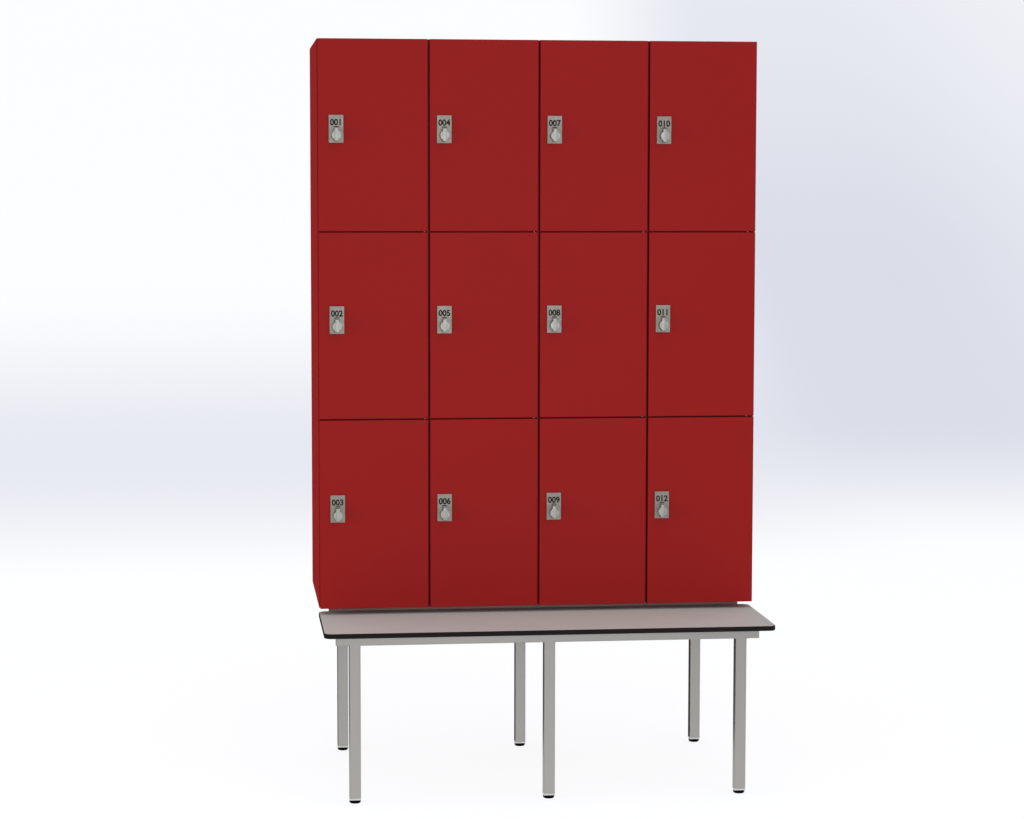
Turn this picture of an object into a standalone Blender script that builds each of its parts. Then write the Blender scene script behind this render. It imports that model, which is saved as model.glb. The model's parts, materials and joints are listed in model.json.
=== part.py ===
"""A twelve-door locker on a steel tube stand, with a bench board in front of the locker.

Units are metres. +Z is up and +Y runs from the front to the back. The origin is on the floor,
under the middle of the whole object. The locker is melamine-faced board, the bench is compact
laminate, and the stand is welded square tube on six glides. Each door hangs on two pins of a
full-height steel strip, and its knob turns a cam into a slot in the wall of the compartment.
"""

from math import acos, atan2, cos, pi, sin, sqrt

import bmesh
import bpy
from mathutils import Matrix, Vector

# The locker's carcass
COLUMNS = 4
ROWS = 3
LOCKER_WIDTH = 1.200
LOCKER_HEIGHT = 1.540
LOCKER_DEPTH = 0.500
PANEL = 0.018
BACK_THICKNESS = 0.008
SEAT_GAP = 0.0003
CUT_OVERRUN = 0.002

# Vertices closer than this are one, and an edge that strays less than this runs along an axis
WELD_DISTANCE = 0.00003
STRAY_ANGLE = pi / 8

# The doors lie over the carcass, with gaps between them
DOOR_THICKNESS = 0.018
DOOR_TO_CARCASS = 0.002
COLUMN_GAP = 0.005
ROW_GAP = 0.0035
DOOR_EDGE_RADIUS = 0.002

# The hinge strips, with a lug and a lift-off pin in a pocket of each door
HINGE_INSET = 0.0065
HINGE_FROM_DOOR_END = 0.090
STRIP_THICKNESS = 0.002
STRIP_WIDTH = 0.030
STRIP_SETBACK = 0.002
LUG_THICKNESS = 0.003
LUG_EYE_RADIUS = 0.004
LUG_NECK_WIDTH = 0.008
PIN_RADIUS = 0.002
PIN_LENGTH = 0.008
POCKET_CLEARANCE = 0.001
PIN_CLEARANCE = 0.0003

# The locks: a plate on the door, a barrel through it with a nut behind, and a knob with a cam.
# The knob is a round boss with a bar across it, longer above as a pointer than below as a tail.
LOCK_FROM_WALL = 0.0326
PLATE_WIDTH = 0.0392
PLATE_HEIGHT = 0.0742
PLATE_BELOW_KNOB = 0.0206
PLATE_THICKNESS = 0.0032
PLATE_CORNER = 0.0010
KNOB_FIELD_DEPTH = 0.0012
KNOB_FIELD_MARGIN = 0.0022
BARREL_RADIUS = 0.0095
BARREL_CLEARANCE = 0.0003
NUT_RADIUS = 0.0135
NUT_THICKNESS = 0.0050
POINTER_REACH = 0.0195
TAIL_REACH = 0.0165
GRIP_WIDTH = 0.0118
GRIP_HEIGHT = 0.0185
GRIP_EDGE = 0.0022
BOSS_RADIUS = 0.0128
BOSS_FRONT_RADIUS = 0.0122
BOSS_HEIGHT = 0.0180
SPINDLE_RADIUS = 0.0040
SPINDLE_CLEARANCE = 0.0003
CAM_REACH = 0.0396
CAM_WIDTH = 0.0160
CAM_THICKNESS = 0.0030
CAM_BEHIND_NUT = 0.0008
STRIKE_CLEARANCE = 0.0012

# The bench board
BENCH_REACH = 0.303
BENCH_DEPTH = 0.373
BENCH_THICKNESS = 0.013
BENCH_CORNER = 0.020
BENCH_EDGE = 0.0012

# The stand of welded square tube, and the two tubes that the locker rests on
TUBE = 0.030
TUBE_WALL = 0.002
TUBE_CORNER = 0.0025
LEG_LENGTH = 0.408
FRAME_SETBACK = 0.063
FRAME_DEPTH = 0.680
RAIL_END_SETBACK = 0.0335
LEG_FROM_RAIL_END = 0.034
BEARER_END_SETBACK = 0.029

# The feet: a plug in the tube's end, a collar under it and a round glide
PLUG_HEIGHT = 0.020
COLLAR_HEIGHT = 0.0055
COLLAR_EDGE = 0.0015
GLIDE_RADIUS = 0.0152
GLIDE_SOLE_RADIUS = 0.0132
GLIDE_HEIGHT = 0.0090
GLIDE_RIM = 0.0025

# How finely round and rounded shapes are divided
EDGE_SEGMENTS = 2
CORNER_SEGMENTS = 6
PIN_SIDES = 8
SPINDLE_SIDES = 12
BARREL_SIDES = 16
BOSS_SIDES = 20
GLIDE_SIDES = 20
NUT_SIDES = 6
EYE_SEGMENTS = 4
CAM_SEGMENTS = 6
FIELD_SIDES = 24

# Places along Y
BENCH_FRONT_Y = -(BENCH_REACH + LOCKER_DEPTH) / 2
BENCH_BACK_Y = BENCH_FRONT_Y + BENCH_DEPTH
DOOR_FRONT_Y = BENCH_FRONT_Y + BENCH_REACH
DOOR_BACK_Y = DOOR_FRONT_Y + DOOR_THICKNESS
CARCASS_FRONT_Y = DOOR_BACK_Y + DOOR_TO_CARCASS
CARCASS_BACK_Y = DOOR_FRONT_Y + LOCKER_DEPTH
BACK_FRONT_Y = CARCASS_BACK_Y - BACK_THICKNESS
INNER_BACK_Y = BACK_FRONT_Y - SEAT_GAP
HALVING_Y = (CARCASS_FRONT_Y + INNER_BACK_Y) / 2
HINGE_Y = DOOR_FRONT_Y + DOOR_THICKNESS / 2
STRIP_FRONT_Y = CARCASS_FRONT_Y + STRIP_SETBACK
STRIP_BACK_Y = STRIP_FRONT_Y + STRIP_WIDTH
FRAME_FRONT_Y = BENCH_FRONT_Y + FRAME_SETBACK
FRAME_BACK_Y = FRAME_FRONT_Y + FRAME_DEPTH

# Places along Z
LEG_FOOT_Z = GLIDE_HEIGHT + COLLAR_HEIGHT
FRAME_TOP_Z = LEG_FOOT_Z + LEG_LENGTH + TUBE
BENCH_BOTTOM_Z = FRAME_TOP_Z + SEAT_GAP
BEARER_TOP_Z = BENCH_BOTTOM_Z + TUBE
LOCKER_BOTTOM_Z = BEARER_TOP_Z + SEAT_GAP
LOCKER_TOP_Z = LOCKER_BOTTOM_Z + LOCKER_HEIGHT

# Places and sizes that follow from the ones above
COLUMN_PITCH = LOCKER_WIDTH / COLUMNS
COMPARTMENT_HEIGHT = (LOCKER_HEIGHT - (ROWS + 1) * PANEL) / ROWS
INNER_HALF_WIDTH = LOCKER_WIDTH / 2 - PANEL
RAIL_HALF_LENGTH = LOCKER_WIDTH / 2 - RAIL_END_SETBACK
BEARER_HALF_LENGTH = LOCKER_WIDTH / 2 - BEARER_END_SETBACK
LEG_X = RAIL_HALF_LENGTH - LEG_FROM_RAIL_END - TUBE / 2
PLATE_BACK = -SEAT_GAP
PLATE_FRONT = PLATE_BACK - PLATE_THICKNESS
FIELD_FRONT = PLATE_FRONT + KNOB_FIELD_DEPTH
KNOB_BACK = FIELD_FRONT - SEAT_GAP
NUT_FRONT = DOOR_THICKNESS + SEAT_GAP
NUT_BACK = NUT_FRONT + NUT_THICKNESS
CAM_FRONT = NUT_BACK + CAM_BEHIND_NUT
CAM_BACK = CAM_FRONT + CAM_THICKNESS

# Colours of the finishes, as linear red, green and blue
RED_MELAMINE = (0.29, 0.016, 0.014)
GREY_LAMINATE = (0.36, 0.31, 0.30)
GREY_POWDER_COAT = (0.35, 0.34, 0.32)
ZINC_PLATE = (0.55, 0.56, 0.57)
NICKEL_PLATE = (0.50, 0.49, 0.46)
BLACK_PLASTIC = (0.01, 0.01, 0.01)


def remove_scene_objects():
    """Empties the scene, so that the script gives the same model each time."""
    for item in list(bpy.data.objects):
        bpy.data.objects.remove(item, do_unlink=True)


def new_collection(name):
    """A collection linked to the scene."""
    collection = bpy.data.collections.new(name)
    bpy.context.scene.collection.children.link(collection)
    return collection


def new_object(name, mesh, collection, location=(0, 0, 0), parent=None):
    """An object at a place in the world, also when it has a parent."""
    item = bpy.data.objects.new(name, mesh)
    collection.objects.link(item)
    if parent is None:
        item.location = location
    else:
        item.parent = parent
        item.location = Vector(location) - world_place(parent)
    return item


def world_place(item):
    """The world place of an object whose parents are unturned."""
    place = item.location.copy()
    while item.parent is not None:
        item = item.parent
        place += item.location
    return place


def finish(item, colour, roughness, metallic):
    """Gives an object a Principled material of its own."""
    material = bpy.data.materials.new(item.name + "_finish")
    material.use_nodes = True
    shader = material.node_tree.nodes["Principled BSDF"]
    shader.inputs["Base Color"].default_value = (*colour, 1)
    shader.inputs["Roughness"].default_value = roughness
    shader.inputs["Metallic"].default_value = metallic
    item.data.materials.append(material)
    return item


def mesh_of(bm, name):
    """Turns a mesh under construction into mesh data."""
    mesh = bpy.data.meshes.new(name)
    bm.to_mesh(mesh)
    bm.free()
    return mesh


def add_box(bm, low, high):
    """Adds a box between two corners."""
    low = Vector(low)
    high = Vector(high)
    place = Matrix.Translation((low + high) / 2)
    bmesh.ops.create_cube(bm, size=1, matrix=place @ Matrix.Diagonal((*(high - low), 1)))


def add_cone(bm, start, end, start_radius, end_radius, sides):
    """Adds a round bar or cone from one point to another."""
    axis = Vector(end) - Vector(start)
    place = Matrix.Translation((Vector(start) + Vector(end)) / 2)
    turn = axis.to_track_quat("Z", "Y").to_matrix().to_4x4()
    bmesh.ops.create_cone(bm, cap_ends=True, segments=sides, radius1=start_radius,
                          radius2=end_radius, depth=axis.length, matrix=place @ turn)


def add_rod(bm, start, end, radius, sides):
    """Adds a round bar from one point to another."""
    add_cone(bm, start, end, radius, radius, sides)


def edges_along(bm, axis):
    """The edges of a mesh that run along one axis."""
    chosen = []
    for edge in bm.edges:
        run = edge.verts[0].co - edge.verts[1].co
        if abs(run[axis]) > run.length * cos(STRAY_ANGLE):
            chosen.append(edge)
    return chosen


def round_edges(bm, edges, radius, segments):
    """Rounds edges of a mesh with an arc."""
    bmesh.ops.bevel(bm, geom=edges, offset=radius, segments=segments, profile=0.5,
                    affect="EDGES", clamp_overlap=True)


def outline_mesh(points, thickness, name):
    """A flat outline in X and Y with a thickness along Z, from a filled two-dimensional curve."""
    curve = bpy.data.curves.new(name, "CURVE")
    curve.dimensions = "2D"
    curve.fill_mode = "BOTH"
    curve.extrude = thickness / 2
    spline = curve.splines.new("POLY")
    spline.points.add(len(points) - 1)
    for target, (x, y) in zip(spline.points, points):
        target.co = (x, y, 0, 1)
    spline.use_cyclic_u = True
    item = bpy.data.objects.new(name, curve)
    bpy.context.scene.collection.objects.link(item)
    graph = bpy.context.evaluated_depsgraph_get()
    mesh = bpy.data.meshes.new_from_object(item.evaluated_get(graph))
    bpy.data.objects.remove(item, do_unlink=True)
    bm = bmesh.new()
    bm.from_mesh(mesh)
    bmesh.ops.remove_doubles(bm, verts=bm.verts, dist=WELD_DISTANCE)
    bmesh.ops.recalc_face_normals(bm, faces=bm.faces)
    bm.to_mesh(mesh)
    bm.free()
    return mesh


def helper(name, mesh, cutters, location=(0, 0, 0)):
    """An object that only serves in Booleans."""
    item = new_object(name, mesh, cutters, location)
    item.hide_render = True
    item.display_type = "WIRE"
    return item


def combine(item, other, operation):
    """Joins another body to an object, or cuts it out, and lets it follow that object."""
    other.location -= world_place(item)
    other.parent = item
    modifier = item.modifiers.new(operation.title(), "BOOLEAN")
    modifier.operation = operation
    modifier.solver = "EXACT"
    modifier.use_self = True
    modifier.object = other
    return item


def column_line(column):
    """X of the line between two columns, or of the locker's outer face."""
    return -LOCKER_WIDTH / 2 + column * COLUMN_PITCH


def left_wall(column):
    """X of the face that bounds a column of compartments on the left."""
    if column == 0:
        return -INNER_HALF_WIDTH
    return column_line(column) + PANEL / 2


def right_wall(column):
    """X of the face that bounds a column of compartments on the right."""
    if column == COLUMNS - 1:
        return INNER_HALF_WIDTH
    return column_line(column + 1) - PANEL / 2


def shelf_z(number):
    """Z of the middle of a shelf, where shelf 0 and shelf ROWS are the bottom and top panels."""
    return LOCKER_BOTTOM_Z + PANEL / 2 + number * (COMPARTMENT_HEIGHT + PANEL)


def door_sides(column):
    """X of a door's left and right edges."""
    return column_line(column) + COLUMN_GAP / 2, column_line(column + 1) - COLUMN_GAP / 2


def door_ends(row):
    """Z of a door's lower and upper edges. Row 0 is the lowest."""
    low = LOCKER_BOTTOM_Z if row == 0 else shelf_z(row) + ROW_GAP / 2
    high = LOCKER_TOP_Z if row == ROWS - 1 else shelf_z(row + 1) - ROW_GAP / 2
    return low, high


def door_number(column, row):
    """Doors are numbered down each column, from the left."""
    return column * ROWS + ROWS - row


def hinge_axis(column, row):
    """The place of a door's pins, at the door's middle height."""
    return Vector((door_sides(column)[1] - HINGE_INSET, HINGE_Y, sum(door_ends(row)) / 2))


def knob_axis(column, row):
    """The place where a knob's axis meets the front face of its door."""
    return Vector((left_wall(column) + LOCK_FROM_WALL, DOOR_FRONT_Y, sum(door_ends(row)) / 2))


def lug_heights(row):
    """Z of the underside of the two lugs that carry a door."""
    low, high = door_ends(row)
    return low + HINGE_FROM_DOOR_END, high - HINGE_FROM_DOOR_END - LUG_THICKNESS


def neck_reach():
    """How far the lug of the last column, which is the longest, runs to the left of its pin."""
    last = COLUMNS - 1
    return hinge_axis(last, 0).x - right_wall(last) + SEAT_GAP + LUG_NECK_WIDTH


def strike_extent():
    """How far below the knob's axis the turning cam crosses the face of the wall."""
    return sqrt(CAM_REACH ** 2 - LOCK_FROM_WALL ** 2)


def make_panel(name, low, high, group, parent):
    """A plain red board of the carcass between two corners."""
    low = Vector(low)
    high = Vector(high)
    centre = (low + high) / 2
    bm = bmesh.new()
    add_box(bm, low - centre, high - centre)
    return finish(new_object(name, mesh_of(bm, name), group, centre, parent), RED_MELAMINE, 0.4, 0)


def strike_cutter(name, columns, cutters):
    """Cuts the slots that take the cams, in the walls on the left of some columns."""
    bm = bmesh.new()
    for column in columns:
        wall = left_wall(column)
        for row in range(ROWS):
            z = knob_axis(column, row).z
            low = (wall - (CAM_REACH - LOCK_FROM_WALL) - STRIKE_CLEARANCE,
                   DOOR_FRONT_Y + CAM_FRONT - STRIKE_CLEARANCE,
                   z - strike_extent() - STRIKE_CLEARANCE)
            high = (wall + CUT_OVERRUN,
                    DOOR_FRONT_Y + CAM_BACK + STRIKE_CLEARANCE,
                    z + CAM_WIDTH / 2 + STRIKE_CLEARANCE)
            add_box(bm, low, high)
    return helper(name, mesh_of(bm, name), cutters)


def make_outer_panels(group, cutters, parent):
    """The two sides, the top, the bottom and the back."""
    half = LOCKER_WIDTH / 2
    side_left = make_panel("side_left", (-half, CARCASS_FRONT_Y, LOCKER_BOTTOM_Z),
                           (-INNER_HALF_WIDTH, CARCASS_BACK_Y, LOCKER_TOP_Z), group, parent)
    combine(side_left, strike_cutter("side_strikes", [0], cutters), "DIFFERENCE")
    make_panel("side_right", (INNER_HALF_WIDTH, CARCASS_FRONT_Y, LOCKER_BOTTOM_Z),
               (half, CARCASS_BACK_Y, LOCKER_TOP_Z), group, parent)
    inner = INNER_HALF_WIDTH - SEAT_GAP
    make_panel("top_panel", (-inner, CARCASS_FRONT_Y, LOCKER_TOP_Z - PANEL),
               (inner, CARCASS_BACK_Y, LOCKER_TOP_Z), group, parent)
    make_panel("bottom_panel", (-inner, CARCASS_FRONT_Y, LOCKER_BOTTOM_Z),
               (inner, CARCASS_BACK_Y, LOCKER_BOTTOM_Z + PANEL), group, parent)
    make_panel("back_panel", (-inner, BACK_FRONT_Y, LOCKER_BOTTOM_Z + PANEL + SEAT_GAP),
               (inner, CARCASS_BACK_Y, LOCKER_TOP_Z - PANEL - SEAT_GAP), group, parent)


def make_partitions(group, cutters, parent):
    """The upright partitions, halved from behind over the shelves."""
    for number in range(1, COLUMNS):
        x = column_line(number)
        partition = make_panel(
            "partition_%d" % number,
            (x - PANEL / 2, CARCASS_FRONT_Y, LOCKER_BOTTOM_Z + PANEL + SEAT_GAP),
            (x + PANEL / 2, INNER_BACK_Y, LOCKER_TOP_Z - PANEL - SEAT_GAP), group, parent)
        bm = bmesh.new()
        for shelf in range(1, ROWS):
            z = shelf_z(shelf)
            add_box(bm, (x - PANEL / 2 - CUT_OVERRUN, HALVING_Y - SEAT_GAP / 2,
                         z - PANEL / 2 - SEAT_GAP),
                    (x + PANEL / 2 + CUT_OVERRUN, INNER_BACK_Y + CUT_OVERRUN,
                     z + PANEL / 2 + SEAT_GAP))
        name = "partition_slots_%d" % number
        combine(partition, helper(name, mesh_of(bm, name), cutters), "DIFFERENCE")
        strikes = strike_cutter("partition_strikes_%d" % number, [number], cutters)
        combine(partition, strikes, "DIFFERENCE")


def make_shelves(group, cutters, parent):
    """The full-width shelves, halved from the front and notched for the hinge strips."""
    inner = INNER_HALF_WIDTH - SEAT_GAP
    for number in range(1, ROWS):
        z = shelf_z(number)
        low_z = z - PANEL / 2
        high_z = z + PANEL / 2
        shelf = make_panel("shelf_%d" % number, (-inner, CARCASS_FRONT_Y, low_z),
                           (inner, INNER_BACK_Y, high_z), group, parent)
        slots = bmesh.new()
        for line in range(1, COLUMNS):
            x = column_line(line)
            add_box(slots, (x - PANEL / 2 - SEAT_GAP, CARCASS_FRONT_Y - CUT_OVERRUN,
                            low_z - CUT_OVERRUN),
                    (x + PANEL / 2 + SEAT_GAP, HALVING_Y + SEAT_GAP / 2, high_z + CUT_OVERRUN))
        name = "shelf_slots_%d" % number
        combine(shelf, helper(name, mesh_of(slots, name), cutters), "DIFFERENCE")
        notches = bmesh.new()
        for column in range(COLUMNS):
            wall = right_wall(column)
            add_box(notches, (wall - STRIP_THICKNESS - 2 * SEAT_GAP,
                              CARCASS_FRONT_Y - CUT_OVERRUN, low_z - CUT_OVERRUN),
                    (wall + CUT_OVERRUN, STRIP_BACK_Y + SEAT_GAP, high_z + CUT_OVERRUN))
        name = "shelf_notches_%d" % number
        combine(shelf, helper(name, mesh_of(notches, name), cutters), "DIFFERENCE")


def lug_outline(reach):
    """The plan of a lug about its pin: an eye, and a neck back to the strip.

    The neck's right side lies to the left of the pin by the reach.
    """
    shoulder_y = CARCASS_FRONT_Y - SEAT_GAP - HINGE_Y
    root_y = STRIP_FRONT_Y + STRIP_THICKNESS - HINGE_Y
    right = Vector((-reach, shoulder_y))
    left = Vector((-reach - LUG_NECK_WIDTH, shoulder_y))
    start = atan2(left.y, left.x) + acos(LUG_EYE_RADIUS / left.length)
    end = atan2(right.y, right.x) - acos(LUG_EYE_RADIUS / right.length) + 2 * pi
    points = [(right.x, root_y), (left.x, root_y), tuple(left)]
    for step in range(EYE_SEGMENTS + 1):
        angle = start + (end - start) * step / EYE_SEGMENTS
        points.append((LUG_EYE_RADIUS * cos(angle), LUG_EYE_RADIUS * sin(angle)))
    points.append(tuple(right))
    return points


def make_hinge_strips(group, cutters, parent):
    """One full-height strip on the right wall of each column, with two lugs for each door."""
    low_z = LOCKER_BOTTOM_Z + PANEL + SEAT_GAP
    high_z = LOCKER_TOP_Z - PANEL - SEAT_GAP
    for column in range(COLUMNS):
        wall = right_wall(column)
        axis = hinge_axis(column, 0)
        bm = bmesh.new()
        add_box(bm, (-SEAT_GAP - STRIP_THICKNESS, 0, 0),
                (-SEAT_GAP, STRIP_WIDTH, high_z - low_z))
        strip = new_object("hinge_strip_%d" % (column + 1), mesh_of(bm, "hinge_strip"), group,
                           (wall, STRIP_FRONT_Y, low_z), parent)
        finish(strip, ZINC_PLATE, 0.35, 1)
        outline = outline_mesh(lug_outline(axis.x - wall + SEAT_GAP), LUG_THICKNESS, "lug")
        lugs = bmesh.new()
        for row in range(ROWS):
            for z in lug_heights(row):
                add_lug(lugs, outline, (axis.x, HINGE_Y, z))
        name = "lugs_%d" % (column + 1)
        combine(strip, helper(name, mesh_of(lugs, name), cutters), "UNION")


def add_lug(bm, outline, place):
    """Adds a lug with its upright pin. The place is on the pin's axis, at the lug's underside."""
    piece = bmesh.new()
    piece.from_mesh(outline)
    x, y, z = place
    bmesh.ops.translate(piece, verts=piece.verts, vec=(x, y, z + LUG_THICKNESS / 2))
    add_rod(piece, (x, y, z + LUG_THICKNESS / 2), (x, y, z + LUG_THICKNESS + PIN_LENGTH),
            PIN_RADIUS, PIN_SIDES)
    joined = bpy.data.meshes.new("lug_with_pin")
    piece.to_mesh(joined)
    piece.free()
    bm.from_mesh(joined)
    bpy.data.meshes.remove(joined)


def make_door(column, row, group, cutters, parent):
    """A door with its hinge pockets, its pin holes and the hole for its lock."""
    name = "door_%02d" % door_number(column, row)
    axis = hinge_axis(column, row)
    left, right = door_sides(column)
    low, high = door_ends(row)
    half = DOOR_THICKNESS / 2
    bm = bmesh.new()
    add_box(bm, (left - axis.x, -half, low - axis.z), (right - axis.x, half, high - axis.z))
    round_edges(bm, edges_along(bm, 2), DOOR_EDGE_RADIUS, EDGE_SEGMENTS)
    door = finish(new_object(name, mesh_of(bm, name), group, axis, parent), RED_MELAMINE, 0.4, 0)
    pockets = bmesh.new()
    holes = bmesh.new()
    for z in lug_heights(row):
        top = z + LUG_THICKNESS + SEAT_GAP
        add_box(pockets, (axis.x - neck_reach() - POCKET_CLEARANCE,
                          HINGE_Y - LUG_EYE_RADIUS - POCKET_CLEARANCE,
                          z - PIN_LENGTH - POCKET_CLEARANCE),
                (right + CUT_OVERRUN, DOOR_BACK_Y + CUT_OVERRUN, top))
        add_rod(holes, (axis.x, HINGE_Y, top - CUT_OVERRUN),
                (axis.x, HINGE_Y, z + LUG_THICKNESS + PIN_LENGTH + POCKET_CLEARANCE),
                PIN_RADIUS + PIN_CLEARANCE, PIN_SIDES)
    knob = knob_axis(column, row)
    add_rod(pockets, knob - Vector((0, CUT_OVERRUN, 0)),
            knob + Vector((0, DOOR_THICKNESS + CUT_OVERRUN, 0)),
            BARREL_RADIUS + BARREL_CLEARANCE, BARREL_SIDES)
    combine(door, helper(name + "_pockets", mesh_of(pockets, name), cutters), "DIFFERENCE")
    combine(door, helper(name + "_pin_holes", mesh_of(holes, name), cutters), "DIFFERENCE")
    return door


def make_lock(column, row, group, cutters, door):
    """The lock's plate, with its barrel through the door and the nut behind."""
    number = door_number(column, row)
    name = "lock_%02d" % number
    bm = bmesh.new()
    half = PLATE_WIDTH / 2
    top = PLATE_HEIGHT - PLATE_BELOW_KNOB
    add_box(bm, (-half, PLATE_FRONT, -PLATE_BELOW_KNOB), (half, PLATE_BACK, top))
    round_edges(bm, edges_along(bm, 1), PLATE_CORNER, EDGE_SEGMENTS)
    lock = new_object(name, mesh_of(bm, name), group, knob_axis(column, row), door)
    finish(lock, NICKEL_PLATE, 0.4, 1)
    barrel = bmesh.new()
    add_rod(barrel, (0, (PLATE_FRONT + PLATE_BACK) / 2, 0), (0, NUT_BACK, 0),
            BARREL_RADIUS, BARREL_SIDES)
    add_rod(barrel, (0, NUT_FRONT, 0), (0, NUT_BACK - SEAT_GAP, 0), NUT_RADIUS, NUT_SIDES)
    place = knob_axis(column, row)
    combine(lock, helper(name + "_barrel", mesh_of(barrel, name), cutters, place), "UNION")
    field = bmesh.new()
    add_rod(field, (0, PLATE_FRONT - CUT_OVERRUN, 0), (0, FIELD_FRONT, 0),
            POINTER_REACH + KNOB_FIELD_MARGIN, FIELD_SIDES)
    add_box(field, (-half - CUT_OVERRUN, PLATE_FRONT - CUT_OVERRUN,
                    -PLATE_BELOW_KNOB - CUT_OVERRUN), (half + CUT_OVERRUN, FIELD_FRONT, 0))
    combine(lock, helper(name + "_field", mesh_of(field, name), cutters, place), "DIFFERENCE")
    bore = bmesh.new()
    add_rod(bore, (0, PLATE_FRONT - CUT_OVERRUN, 0), (0, NUT_BACK + CUT_OVERRUN, 0),
            SPINDLE_RADIUS + SPINDLE_CLEARANCE, SPINDLE_SIDES)
    combine(lock, helper(name + "_bore", mesh_of(bore, name), cutters, place), "DIFFERENCE")
    return lock


def cam_outline():
    """The cam from its hub down to its tip, as X and Z seen from the front."""
    half = CAM_WIDTH / 2
    points = []
    for step in range(CAM_SEGMENTS + 1):
        angle = pi * step / CAM_SEGMENTS
        points.append((half * cos(angle), half * sin(angle)))
    spread = atan2(half, sqrt(CAM_REACH ** 2 - half ** 2))
    tip_segments = CAM_SEGMENTS // 2
    for step in range(tip_segments + 1):
        angle = -pi / 2 - spread + 2 * spread * step / tip_segments
        points.append((CAM_REACH * cos(angle), CAM_REACH * sin(angle)))
    return points


def make_knob(column, row, group, cutters, lock):
    """The knob with its spindle through the lock and the cam on the spindle's end."""
    number = door_number(column, row)
    name = "knob_%02d" % number
    place = knob_axis(column, row)
    bm = bmesh.new()
    add_box(bm, (-GRIP_WIDTH / 2, KNOB_BACK - GRIP_HEIGHT, -TAIL_REACH),
            (GRIP_WIDTH / 2, KNOB_BACK, POINTER_REACH))
    outer = [edge for edge in bm.edges if min(v.co.y for v in edge.verts) < KNOB_BACK - GRIP_EDGE]
    round_edges(bm, outer, GRIP_EDGE, EDGE_SEGMENTS)
    knob = new_object(name, mesh_of(bm, name), group, place, lock)
    finish(knob, NICKEL_PLATE, 0.3, 1)
    boss = bmesh.new()
    add_cone(boss, (0, KNOB_BACK, 0), (0, KNOB_BACK - BOSS_HEIGHT, 0),
             BOSS_RADIUS, BOSS_FRONT_RADIUS, BOSS_SIDES)
    add_rod(boss, (0, KNOB_BACK - BOSS_HEIGHT / 2, 0), (0, CAM_BACK, 0),
            SPINDLE_RADIUS, SPINDLE_SIDES)
    cam = bmesh.new()
    cam.from_mesh(outline_mesh(cam_outline(), CAM_THICKNESS, "cam"))
    stand_up = Matrix.Rotation(pi / 2, 4, "X")
    bmesh.ops.transform(cam, matrix=stand_up, verts=cam.verts)
    bmesh.ops.translate(cam, verts=cam.verts, vec=(0, (CAM_FRONT + CAM_BACK) / 2, 0))
    combine(knob, helper(name + "_boss", mesh_of(boss, name), cutters, place), "UNION")
    combine(knob, helper(name + "_cam", mesh_of(cam, name), cutters, place), "UNION")
    return knob


def make_doors(group, cutters, parent):
    """All the doors with their locks and knobs."""
    for column in range(COLUMNS):
        for row in range(ROWS):
            door = make_door(column, row, group, cutters, parent)
            lock = make_lock(column, row, group, cutters, door)
            make_knob(column, row, group, cutters, lock)


def make_bench(group, parent):
    """The bench board with rounded corners and eased edges."""
    half = LOCKER_WIDTH / 2
    depth = BENCH_DEPTH
    bm = bmesh.new()
    add_box(bm, (-half, 0, 0), (half, depth, BENCH_THICKNESS))
    round_edges(bm, edges_along(bm, 2), BENCH_CORNER, CORNER_SEGMENTS)
    level = [edge for edge in bm.edges if abs(edge.verts[0].co.z - edge.verts[1].co.z) < SEAT_GAP]
    round_edges(bm, level, BENCH_EDGE, EDGE_SEGMENTS)
    board = new_object("bench_board", mesh_of(bm, "bench_board"), group,
                       (0, BENCH_FRONT_Y, BENCH_BOTTOM_Z), parent)
    return finish(board, GREY_LAMINATE, 0.45, 0)


def add_tube(bm, low, high, axis):
    """Adds a square tube's outside, with its long edges rounded."""
    piece = bmesh.new()
    add_box(piece, low, high)
    round_edges(piece, edges_along(piece, axis), TUBE_CORNER, EDGE_SEGMENTS)
    mesh = mesh_of(piece, "tube")
    bm.from_mesh(mesh)
    bpy.data.meshes.remove(mesh)


def leg_places():
    """X of each row of legs, and Y of the front of each leg."""
    for x in (-LEG_X, 0, LEG_X):
        for y in (FRAME_FRONT_Y, FRAME_BACK_Y - TUBE):
            yield x, y


def frame_members(inset):
    """The corners and the axis of each tube of the frame, or of its bore where inset is the wall.

    The rails' bores run out at both ends, and the legs' bores run out below.
    """
    half = TUBE / 2 - inset
    run = RAIL_HALF_LENGTH + (CUT_OVERRUN if inset else 0)
    middle_z = FRAME_TOP_Z - TUBE / 2
    foot_z = LEG_FOOT_Z + SEAT_GAP - (CUT_OVERRUN if inset else 0)
    members = []
    for y in (FRAME_FRONT_Y + TUBE / 2, FRAME_BACK_Y - TUBE / 2):
        members.append(((-run, y - half, middle_z - half), (run, y + half, middle_z + half), 0))
    for x, y in leg_places():
        middle_y = y + TUBE / 2
        members.append(((x - half, middle_y - half, foot_z), (x + half, middle_y + half, middle_z), 2))
    for x in (-LEG_X, 0, LEG_X):
        members.append(((x - half, FRAME_FRONT_Y + TUBE / 2, middle_z - half),
                        (x + half, FRAME_BACK_Y - TUBE / 2, middle_z + half), 1))
    return members


def make_frame(group, cutters, parent):
    """The welded frame: two rails, three cross members and six legs, with their bores."""
    tubes = frame_members(0)
    bm = bmesh.new()
    add_tube(bm, *tubes[0])
    frame = finish(new_object("stand_frame", mesh_of(bm, "stand_frame"), group, (0, 0, 0), parent),
                   GREY_POWDER_COAT, 0.5, 0)
    others = bmesh.new()
    for low, high, axis in tubes[1:]:
        add_tube(others, low, high, axis)
    combine(frame, helper("frame_tubes", mesh_of(others, "frame_tubes"), cutters), "UNION")
    bores = bmesh.new()
    for low, high, _ in frame_members(TUBE_WALL):
        add_box(bores, low, high)
    combine(frame, helper("frame_bores", mesh_of(bores, "frame_bores"), cutters), "DIFFERENCE")
    return frame


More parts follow.
